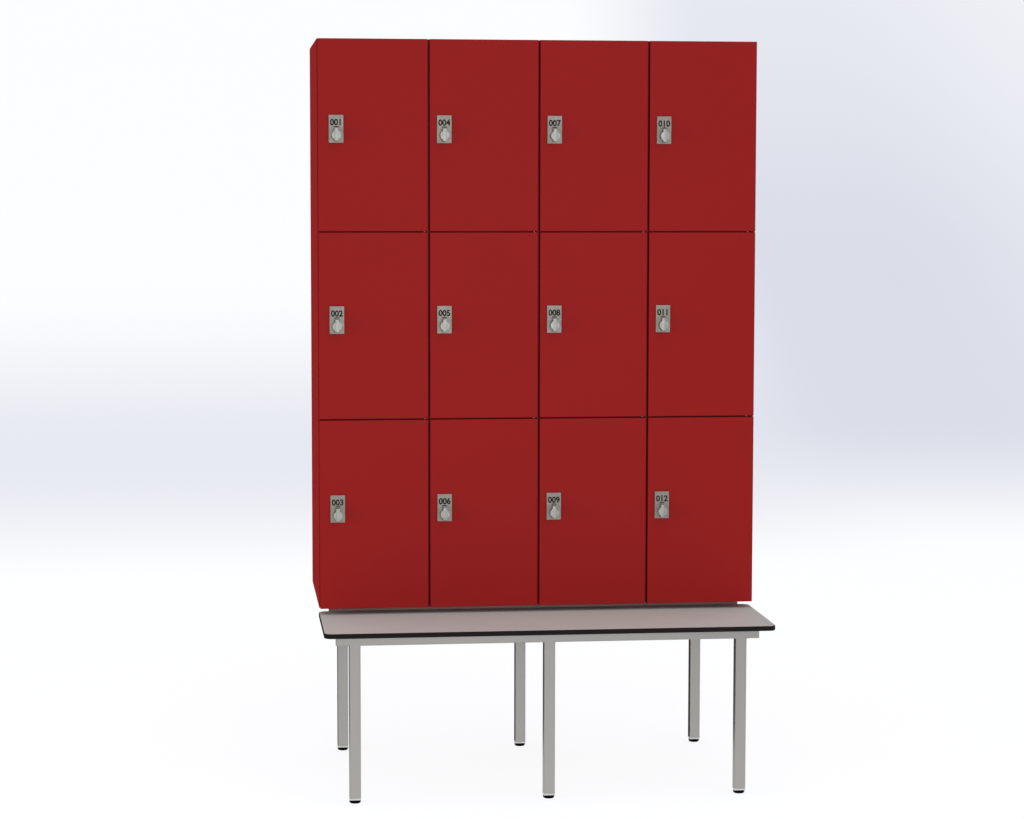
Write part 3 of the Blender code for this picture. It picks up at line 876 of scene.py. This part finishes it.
@dataclass(frozen=True)
class Fastener:
    """A screw's head with its cross recess, facing +Z at the origin."""

    radius: float
    height: float
    edge: float
    recess: float
    sides: int = 20
    dome_steps: int = 4

    def head(self) -> Piece:
        """Makes the head.

        Returns:
            A helper object that the rows of screws take their shape from.
        """
        dome = [(0.0, -self.edge), (self.radius, -self.edge)]
        for step in range(self.dome_steps):
            angle = pi / 2 * step / self.dome_steps
            dome.append((self.radius * cos(angle), self.height * sin(angle)))
        dome.append((0.0, self.height))
        head = new_object("screw_head", mesh_of(turned(dome, self.sides), "screw_head"))
        half_width = self.recess / 4
        rounding = self.recess / 12
        for turn in (0, pi / 2):
            slot = rounded_box(Vector((-self.recess, -half_width, self.height / 4)),
                               Vector((self.recess, half_width, self.height * 2)), rounding, 1)
            bmesh.ops.rotate(slot, verts=slot.verts, matrix=Matrix.Rotation(turn, 3, "Z"))
            carve(head, mesh_of(slot, "slot"))
        shade(head)
        return head


def screw_row(name: str, screw: Fastener, places: list[Vector], facing: Matrix, turn: Triple,
              seed: int) -> None:
    """Sets a zinc-plated screw's head at each place, on the root body.

    Args:
        name: the new piece's name.
        screw: the screw.
        places: where each head's seat is.
        facing: turns +Z to the way that the heads face.
        turn: the most that a head is turned about each axis.
        seed: the seed of the turns.
    """
    head = screw.head()
    head.data.transform(facing)
    mesh = bpy.data.meshes.new(name)
    mesh.from_pydata(places, [], [])
    row = new_object(name, mesh)
    SeatedPieces().grow(row, {"Piece": head, "Turn": Vector(turn), "Seed": seed,
                              "Finish": BRIGHT_ZINC.material()})
    bpy.data.objects.remove(head)
    seat(row, "root", BRIGHT_ZINC.slot)


@dataclass
class Carcass:
    """The fixed boards of the locker, with their edges eased."""

    arris: float = 0.0008
    boards: dict[str, Axis] = field(default_factory=lambda: {
        "side_left": Axis.X, "side_right": Axis.X, "top_panel": Axis.Z, "bottom_panel": Axis.Z,
        "partition_1": Axis.X, "partition_2": Axis.X, "partition_3": Axis.X,
        "shelf_1": Axis.Z, "shelf_2": Axis.Z})
    back_edge: float = 0.009
    back_pitch: float = 0.19
    screw_radius: float = 0.0038
    seat_depth: float = 0.0032
    seat_play: float = 0.0002
    seat_sides: int = 20
    head_play: float = 0.0001
    head_height: float = 0.0003
    head_edge: float = 0.0006
    head_recess: float = 0.0013
    turns_seed: int = 3

    def build(self) -> None:
        """Makes all the boards, and the back with its sunk screws."""
        for node, thin in self.boards.items():
            board = ease_arrises(twin(node, f"{node}_board"), self.arris)
            complete_board(board, "root", node, thin, self.arris)
        self.build_back()

    def build_back(self) -> None:
        """Makes the back board, countersunk for the screws all round it and along the partitions."""
        low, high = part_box("back_panel")
        inner = [sum(corner.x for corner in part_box(f"partition_{number}")) / 2 for number in (1, 2, 3)]
        columns = [low.x + self.back_edge, *inner, high.x - self.back_edge]
        height = high.z - low.z - 2 * self.back_edge
        steps = round(height / self.back_pitch)
        places = [Vector((x, high.y, low.z + self.back_edge + height / steps * step))
                  for x in columns for step in range(steps + 1)]
        back = ease_arrises(twin("back_panel", "back_panel_board"), self.arris)
        facing = Matrix.Rotation(-pi / 2, 4, "X")
        seats = bmesh.new()
        for place in places:
            bmesh.ops.create_cone(seats, cap_ends=True, segments=self.seat_sides,
                                  radius1=self.seat_play, radius2=self.screw_radius + self.seat_play,
                                  depth=2 * self.seat_depth, matrix=Matrix.Translation(place) @ facing)
        carve(back, mesh_of(seats, "seats"))
        complete_board(back, "root", "back_panel", Axis.Y, self.arris)
        screw = Fastener(radius=self.screw_radius / 2 - self.head_play, height=self.head_height,
                         edge=self.head_edge, recess=self.head_recess)
        sunk = [place - Vector((0, self.seat_depth / 2, 0)) for place in places]
        screw_row("back_panel_screws", screw, sunk, facing, (0, pi, 0), self.turns_seed)


@dataclass
class Doors:
    """The twelve doors, routed along their upper and lower edges."""

    count: int = 12
    radius: float = 0.002
    segments: int = 6
    overrun: float = 0.003

    def build(self) -> None:
        """Makes every door."""
        for number in range(1, self.count + 1):
            node = f"door_{number:02d}"
            door = twin(node, f"{node}_board")
            carve(door, self.router_passes(*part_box(node)))
            complete_board(door, node, node, Axis.Y, self.radius)

    def router_passes(self, low: Vector, high: Vector) -> Mesh:
        """Makes what a router's round-over bit takes off the four long edges that run along X.

        Args:
            low: the door's lowest corner.
            high: its highest corner.

        Returns:
            The four waste strips.
        """
        bm = bmesh.new()
        for y, inward_y in ((low.y, 1), (high.y, -1)):
            for z, inward_z in ((low.z, 1), (high.z, -1)):
                outline = []
                for step in range(self.segments + 1):
                    angle = pi / 2 * step / self.segments
                    outline.append((y + inward_y * self.radius * (1 - sin(angle)),
                                    z + inward_z * self.radius * (1 - cos(angle))))
                outline.append((outline[-1][0] - inward_y * self.overrun, outline[-1][1]))
                outline.append((outline[-1][0], z - inward_z * self.overrun))
                outline.append((outline[0][0], z - inward_z * self.overrun))
                ends = [[bm.verts.new((x, at_y, at_z)) for at_y, at_z in outline]
                        for x in (low.x - self.overrun, high.x + self.overrun)]
                for end in ends:
                    bm.faces.new(end)
                for at in range(len(outline)):
                    following = (at + 1) % len(outline)
                    bm.faces.new((ends[0][at], ends[0][following], ends[1][following], ends[1][at]))
        return mesh_of(bm, "router_passes")


@dataclass
class Locks:
    """The lock plates with their printed numbers and the painted shadow arcs above the knobs, and the
    turning knobs.
    """

    count: int = 12
    plate_arris: float = 0.0004
    knob_arris: float = 0.0007
    digit_height: float = 0.0158
    digit_narrowing: float = 0.955
    digit_below_top: float = 0.0202
    digit_weight: float = 0.034
    digit_steps: int = 5
    font_cap_height: float = 0.70
    ink_thickness: float = 0.00012
    # The ink arc above each knob is painted shadow: it deepens the shadow along the edge of the recessed
    # field.
    shadow_arc_radius: float = 0.0219
    shadow_arc_width: float = 0.0021
    shadow_arc_sweep: float = radians(34)
    shadow_arc_steps: int = 8

    def build(self) -> None:
        """Makes every lock."""
        for number in range(1, self.count + 1):
            self.build_plate(number)
            self.build_knob(number)
            self.build_number(number)

    def build_plate(self, number: int) -> None:
        """Makes a lock's plate with its barrel and nut.

        Args:
            number: the door's number.
        """
        node = f"lock_{number:02d}"
        plate = ease_arrises(twin(node, f"{node}_casting"), self.plate_arris)
        complete(plate, f"door_{number:02d}", (PLATE_NICKEL,), node)

    def build_knob(self, number: int) -> None:
        """Makes a knob with its spindle and cam.

        Args:
            number: the door's number.
        """
        node = f"knob_{number:02d}"
        knob = ease_arrises(twin(node, f"{node}_casting"), self.knob_arris)
        nut_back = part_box(f"lock_{number:02d}")[1].y

        def zone(centre: Vector, normal: Vector) -> int:
            """Gives the cam's zone to all that lies behind the nut."""
            return 1 if centre.y > nut_back else 0

        complete(knob, node, (KNOB_NICKEL, BRIGHT_ZINC), node, zone=zone)

    def build_number(self, number: int) -> None:
        """Prints a lock's number, and adds the ink arc above its knob, a painted shadow.

        Args:
            number: the door's number.
        """
        low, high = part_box(f"lock_{number:02d}")
        text = bpy.data.curves.new("number", "FONT")
        text.body = f"{number:03d}"
        text.align_x = "CENTER"
        text.align_y = "CENTER"
        text.size = self.digit_height / self.font_cap_height
        text.offset = self.digit_weight * text.size
        text.extrude = self.ink_thickness
        text.resolution_u = self.digit_steps
        carrier = new_object("number", text)
        mesh = evaluated_mesh(carrier)
        bpy.data.objects.remove(carrier)
        centre = Vector(((low.x + high.x) / 2, low.y, high.z - self.digit_below_top))
        narrow = Matrix.Diagonal((self.digit_narrowing, 1, 1, 1))
        mesh.transform(Matrix.Translation(centre) @ Matrix.Rotation(pi / 2, 4, "X") @ narrow)
        turn = next(joint for joint in frame["joints"] if joint["name"] == f"knob_{number:02d}_turn")
        bm = bmesh.new()
        bm.from_mesh(mesh)
        # The arc above the knob is painted shadow.
        self.add_painted_shadow_arc(bm, Vector(turn["pos_m"]), low.y)
        bm.to_mesh(mesh)
        bm.free()
        digits = new_object(f"number_{number:03d}", mesh)
        paint(digits, (PRINT_AND_SHADOW_INK,))
        seat(digits, f"door_{number:02d}")

    def add_painted_shadow_arc(self, bm: Body, axis: Vector, front: float) -> None:
        """Adds a dark ink arc above the knob: painted shadow along the edge of the plate's recessed
        field.

        Args:
            bm: the bmesh to add to.
            axis: a point on the knob's axis.
            front: Y of the plate's front.
        """
        rings = []
        for step in range(self.shadow_arc_steps + 1):
            angle = pi / 2 - self.shadow_arc_sweep / 2 + self.shadow_arc_sweep * step / self.shadow_arc_steps
            rings.append([bm.verts.new((axis.x + radius * cos(angle), y, axis.z + radius * sin(angle)))
                          for y in (front - self.ink_thickness, front + self.ink_thickness)
                          for radius in (self.shadow_arc_radius, self.shadow_arc_radius + self.shadow_arc_width)])
        for one, other in zip(rings, rings[1:]):
            for near, far in ((0, 1), (1, 3), (3, 2), (2, 0)):
                bm.faces.new((one[near], one[far], other[far], other[near]))
        for ring, order in ((rings[0], (0, 2, 3, 1)), (rings[-1], (0, 1, 3, 2))):
            bm.faces.new([ring[at] for at in order])


@dataclass
class HingeHardware:
    """The hinge strips on the walls, with their screws."""

    count: int = 4
    arris: float = 0.0003
    screw_from_lug: float = 0.026
    screw: Fastener = Fastener(radius=0.0037, height=0.0011, edge=0.0002, recess=0.0019)
    turns_seed: int = 5
    height_digits: int = 4

    def build(self) -> None:
        """Makes the strips and all their screws."""
        places = []
        for number in range(1, self.count + 1):
            node = f"hinge_strip_{number}"
            strip = ease_arrises(twin(node, f"{node}_steel"), self.arris)
            complete(strip, "root", (BRIGHT_ZINC,), node)
            places += self.screw_places(node)
        screw_row("hinge_strip_screws", self.screw, places, Matrix.Rotation(-pi / 2, 4, "Y"),
                  (pi, 0, 0), self.turns_seed)

    def screw_places(self, node: str) -> list[Vector]:
        """Gives the seats of a strip's screws, above and below each pair of lugs and near both ends.

        Args:
            node: the strip's CAD node.

        Returns:
            The places on the strip's open face.
        """
        low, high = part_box(node)
        corners = [vertex.co for vertex in frame["nodes"][node].data.vertices]
        upper = [corner for corner in corners if corner.z > high.z - SKIN]
        face_x = min(corner.x for corner in upper)
        front = min(corner.y for corner in upper)
        middle = (front + max(corner.y for corner in upper)) / 2
        pairs = []
        for height in sorted({round(corner.z, self.height_digits) for corner in corners
                              if corner.y < front - MILLIMETRE}):
            if not pairs or height - pairs[-1] > 2 * self.screw_from_lug:
                pairs.append(height)
        heights = [height + side * self.screw_from_lug for height in pairs for side in (-1, 1)]
        heights += [low.z + self.screw_from_lug, high.z - self.screw_from_lug]
        return [Vector((face_x, middle, height)) for height in heights]


@dataclass
class BenchBoard:
    """The bench board of compact laminate, with its black core showing all round."""

    arris: float = 0.0016
    arris_segments: int = 3

    def build(self) -> None:
        """Makes the board."""
        low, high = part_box("bench_board")
        board = ease_arrises(twin("bench_board", "bench_board_laminate"), self.arris,
                             self.arris_segments)

        def zone(centre: Vector, normal: Vector) -> int:
            """Gives the decor to the two flat faces and the core to all else."""
            flat = min(centre.z - low.z, high.z - centre.z) < SKIN
            return 0 if flat and abs(normal.z) > SQUARE_ON else 1

        complete(board, "root", (GREY_DECOR, BLACK_CORE), "bench_board", zone=zone)


@dataclass
class Foot:
    """A levelling foot: a pale collar under the tube, its paleness partly a painted highlight of the
    floor's light on the foot's chamfer, and a black glide below it.
    """

    number: int
    collar_height: float = 0.0055
    collar_radius: float = 0.0014
    glide_height: float = 0.0090
    glide_radius: float = 0.0152
    sole_radius: float = 0.0132
    sole_edge: float = 0.0004
    rim: float = 0.0025
    shoulder_drop: float = 0.0012
    shoulder_inset: float = 0.0008
    bore: float = 0.0125
    sides: int = 40

    def build(self) -> None:
        """Makes the collar with its plug, and the glide."""
        node = f"foot_{self.number}"
        low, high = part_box(node)
        middle = (low + high) / 2
        top = self.glide_height + self.collar_height
        collar = new_object(f"{node}_collar", self.block(middle, (high.x - low.x) / 2,
                                                         self.glide_height, top, self.collar_radius))
        plug = self.block(middle, self.bore, top - MILLIMETRE, high.z, MILLIMETRE)
        carve(collar, plug, "UNION")
        # The collar's pale finish is partly painted highlight.
        complete(collar, "root", (PALE_NYLON_AND_HIGHLIGHT,), node)
        profile = [(0.0, 0.0), (self.sole_radius - MILLIMETRE, 0.0),
                   (self.sole_radius, self.sole_edge), (self.glide_radius - self.sole_edge, self.rim),
                   (self.glide_radius, self.rim + MILLIMETRE),
                   (self.glide_radius, self.glide_height - self.shoulder_drop),
                   (self.glide_radius - self.shoulder_inset, self.glide_height),
                   (0.0, self.glide_height)]
        spun = turned(profile, self.sides)
        bmesh.ops.translate(spun, verts=spun.verts, vec=(middle.x, middle.y, 0))
        complete(new_object(f"{node}_glide", mesh_of(spun, "glide")), "root", (BLACK_NYLON,), node)

    def block(self, middle: Vector, half: float, bottom: float, top: float, radius: float) -> Mesh:
        """Makes a square block with rounded edges.

        Args:
            middle: a point on the block's upright axis.
            half: half its width.
            bottom: the height of its bottom.
            top: the height of its top.
            radius: the radius of its edges.

        Returns:
            The block.
        """
        return mesh_of(rounded_box(Vector((middle.x - half, middle.y - half, bottom)),
                                   Vector((middle.x + half, middle.y + half, top)), radius), "block")


@dataclass
class Stand:
    """The welded stand, the bearers, the feet, the end caps and the weld beads."""

    tube: float = 0.030
    wall: float = 0.002
    leg_x: float = 0.5175
    cap_recess: float = 0.0004
    cap_depth: float = 0.018
    cap_play: float = 0.0002
    cap_radius: float = 0.0008
    dish_depth: float = 0.0010
    dish_rim: float = 0.0035
    bead_pitch: float = 0.0016
    bead_radius: float = 0.0013
    bead_unevenness: float = 0.18
    bead_seed: int = 7
    bead_end_gap: float = 0.003
    feet: int = 6

    def build(self) -> None:
        """Makes every piece of the stand."""
        # The bearers take the grey powder painted with the slit's shade and red bounce light.
        for node, finish in (("stand_frame", GREY_POWDER), ("bearer_front", PAINTED_SHADE_POWDER),
                             ("bearer_rear", PAINTED_SHADE_POWDER)):
            complete(twin(node, f"{node}_tubes"), "root", (finish,), node)
        self.build_caps()
        self.build_beads()
        for number in range(1, self.feet + 1):
            Foot(number).build()

    def build_caps(self) -> None:
        """Makes the black caps that close the rails and the bearers."""
        low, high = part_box("stand_frame")
        ends = [("rail_front", low.x, high.x, low.y, high.z - self.tube),
                ("rail_rear", low.x, high.x, high.y - self.tube, high.z - self.tube)]
        for node in ("bearer_front", "bearer_rear"):
            corner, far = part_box(node)
            ends.append((node, corner.x, far.x, corner.y, corner.z))
        for name, left, right, y, z in ends:
            for side, x, outward in (("left", left, -1), ("right", right, 1)):
                self.build_cap(f"{name}_{side}_cap", x, outward, y, z)

    def build_cap(self, name: str, x: float, outward: int, y: float, z: float) -> None:
        """Makes one end cap: an insert with a dished face, pressed in flush with the tube's end.

        Args:
            name: the piece's name.
            x: X of the tube's end.
            outward: 1 or -1, the way that the tube's end faces along X.
            y: the lowest Y of the tube.
            z: the lowest Z of the tube.
        """
        inset = self.wall + self.cap_play
        face = x - outward * self.cap_recess
        bottom = x - outward * (self.cap_recess + self.dish_depth)
        cap = new_object(name, self.block(face, x - outward * self.cap_depth, y, z, inset))
        dish = self.block(bottom, x + outward * self.dish_depth, y, z, inset + self.dish_rim)
        carve(cap, dish)
        complete(cap, "root", (BLACK_NYLON,))

    def block(self, one_x: float, other_x: float, y: float, z: float, inset: float) -> Mesh:
        """Makes a rounded block inside a tube.

        Args:
            one_x: X of one end.
            other_x: X of the other end.
            y: the lowest Y of the tube.
            z: the lowest Z of the tube.
            inset: how far the block stays from the tube's outside.

        Returns:
            The block.
        """
        low = Vector((min(one_x, other_x), y + inset, z + inset))
        high = Vector((max(one_x, other_x), y + self.tube - inset, z + self.tube - inset))
        return mesh_of(rounded_box(low, high, self.cap_radius), "block")

    def build_beads(self) -> None:
        """Lays a bead along each seam between a leg or a cross member and a rail."""
        low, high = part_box("stand_frame")
        under = high.z - self.tube
        half = self.tube / 2
        seams = []
        for x in (-self.leg_x, 0.0, self.leg_x):
            for side in (x - half, x + half):
                for y in (low.y, high.y - self.tube):
                    seams.append(((side, y + self.bead_end_gap, under),
                                  (side, y + self.tube - self.bead_end_gap, under)))
                for y in (low.y + self.tube, high.y - self.tube):
                    seams.append(((side, y, under + self.bead_end_gap),
                                  (side, y, high.z - self.bead_end_gap)))
        points = [point for seam in seams for point in seam]
        mesh = bpy.data.meshes.new("seams")
        mesh.from_pydata(points, [(at, at + 1) for at in range(0, len(points), 2)], [])
        beads = new_object("stand_frame_weld_beads", mesh)
        WeldRipples().grow(beads, {"Pitch": self.bead_pitch, "Ripple": self.bead_radius,
                                   "Unevenness": self.bead_unevenness, "Seed": self.bead_seed,
                                   "Finish": GREY_POWDER.material()})
        seat(beads, "root", GREY_POWDER.slot)


@dataclass(frozen=True)
class Softbox:
    """A square softbox, its size in metres and its power in watts."""

    name: str
    place: Triple
    target: Triple
    size: float
    power: float
    in_gloss: bool = True

    def build(self) -> None:
        """Sets the light up."""
        data = bpy.data.lights.new(self.name, "AREA")
        data.shape = "SQUARE"
        data.size = self.size
        data.energy = self.power
        light = new_object(self.name, data)
        place = Vector(self.place)
        aim = (Vector(self.target) - place).to_track_quat("-Z", "Y").to_matrix().to_4x4()
        light.matrix_world = Matrix.Translation(place) @ aim
        light.visible_camera = False
        light.visible_glossy = self.in_gloss


@dataclass
class Studio:
    """The camera where the photograph was taken from, the pale sweep, the flags and the lights."""

    camera_place: Triple = (-0.87475, -6.94335, 1.60671)
    yaw: float = radians(6.6753)
    pitch: float = radians(-4.8372)
    roll: float = radians(0.0723)
    lens: float = 89.189
    sensor: float = 36.0
    sight: float = 100.0
    floor_half: float = 22.0
    wall_y: float = 14.0
    wall_radius: float = 10.0
    wall_steps: int = 24
    wall_height: float = 12.0
    sky: str = "f4f6fa"
    sky_strength: float = 0.735
    flag_y: float = 1.3
    # Left, right and top of each flag behind the object.
    flags: tuple[Triple, ...] = ((-3.8, -0.62, 3.2), (-0.62, 0.62, 0.85), (0.62, 3.0, 2.2))
    # Left, right, front and height of the flag on the floor.
    floor_flag: tuple[float, float, float, float] = (-3.8, 0.5, 0.32, 0.003)
    # X, front and top of the flag left of the legs.
    side_flag: Triple = (-1.1, -0.38, 0.42)
    softboxes: tuple[Softbox, ...] = (
        Softbox("key", place=(5.0, -5.2, 4.2), target=(0.0, 0.0, 1.15), size=3.2, power=54.0),
        Softbox("left", place=(-6.0, -1.2, 0.9), target=(0.0, 0.0, 1.15), size=3.0, power=176.0,
                in_gloss=False),
        Softbox("top", place=(0.4, -1.2, 5.2), target=(0.0, -0.2, 0.4), size=3.0, power=30.0),
        Softbox("front", place=(0.2, -7.6, 1.35), target=(0.0, 0.0, 0.9), size=2.4, power=70.0))

    def build(self) -> None:
        """Makes all of it."""
        self.build_camera()
        self.build_backdrop()
        self.build_flags()
        self.build_sky()
        for softbox in self.softboxes:
            softbox.build()

    def build_camera(self) -> None:
        """Sets the camera up."""
        data = bpy.data.cameras.new("camera")
        data.lens = self.lens
        data.sensor_width = self.sensor
        data.clip_end = self.sight
        camera = new_object("camera", data)
        turn = (Matrix.Rotation(-self.yaw, 4, "Z") @ Matrix.Rotation(pi / 2 + self.pitch, 4, "X")
                @ Matrix.Rotation(self.roll, 4, "Z"))
        camera.matrix_world = Matrix.Translation(self.camera_place) @ turn
        bpy.context.scene.camera = camera

    def build_backdrop(self) -> None:
        """Makes the floor that curves up into a wall behind the object."""
        outline = [(-self.floor_half, 0.0), (self.wall_y - self.wall_radius, 0.0)]
        for step in range(1, self.wall_steps + 1):
            angle = pi / 2 * step / self.wall_steps
            outline.append((self.wall_y - self.wall_radius + self.wall_radius * sin(angle),
                            self.wall_radius * (1 - cos(angle))))
        outline.append((self.wall_y, self.wall_height))
        bm = bmesh.new()
        rows = [[bm.verts.new((x, y, z)) for x in (-self.floor_half, self.floor_half)]
                for y, z in outline]
        for near, far in zip(rows, rows[1:]):
            bm.faces.new((near[0], near[1], far[1], far[0]))
        backdrop = new_object("backdrop", mesh_of(bm, "backdrop", outwards=False))
        backdrop.data.shade_smooth()
        paint(backdrop, (OPAL_SWEEP,))

    def build_flags(self) -> None:
        """Hangs black flags behind the object and left of its legs, and lays one on the floor.

        Only reflections see them.
        """
        bm = bmesh.new()
        for left, right, top in self.flags:
            corners = ((left, MILLIMETRE), (right, MILLIMETRE), (right, top), (left, top))
            bm.faces.new([bm.verts.new((x, self.flag_y, z)) for x, z in corners])
        left, right, front, height = self.floor_flag
        corners = ((left, front), (right, front), (right, self.flag_y), (left, self.flag_y))
        bm.faces.new([bm.verts.new((x, y, height)) for x, y in corners])
        x, front, top = self.side_flag
        corners = ((front, MILLIMETRE), (self.flag_y, MILLIMETRE), (self.flag_y, top), (front, top))
        bm.faces.new([bm.verts.new((x, y, z)) for y, z in corners])
        flags = new_object("flags", mesh_of(bm, "flags", outwards=False))
        paint(flags, (BLACK_CLOTH,))
        for seen in ("camera", "diffuse", "transmission", "volume_scatter", "shadow"):
            setattr(flags, f"visible_{seen}", False)

    def build_sky(self) -> None:
        """Sets the even light of the studio's walls and ceiling."""
        world = bpy.data.worlds.new("studio_walls")
        bpy.context.scene.world = world
        world.use_nodes = True
        shell = world.node_tree.nodes["Background"]
        feed(world.node_tree, shell, {"Color": linear(self.sky), "Strength": self.sky_strength})


def main() -> None:
    """Builds the locker's looks and the studio."""
    logging.basicConfig(level=logging.INFO, format="%(name)s: %(message)s")
    bpy.context.scene.view_settings.view_transform = "Standard"
    for assembly in (Carcass(), Doors(), Locks(), HingeHardware(), BenchBoard(), Stand(), Studio()):
        LOG.info("building %s", type(assembly).__name__)
        assembly.build()


if __name__ == "__main__":
    main()
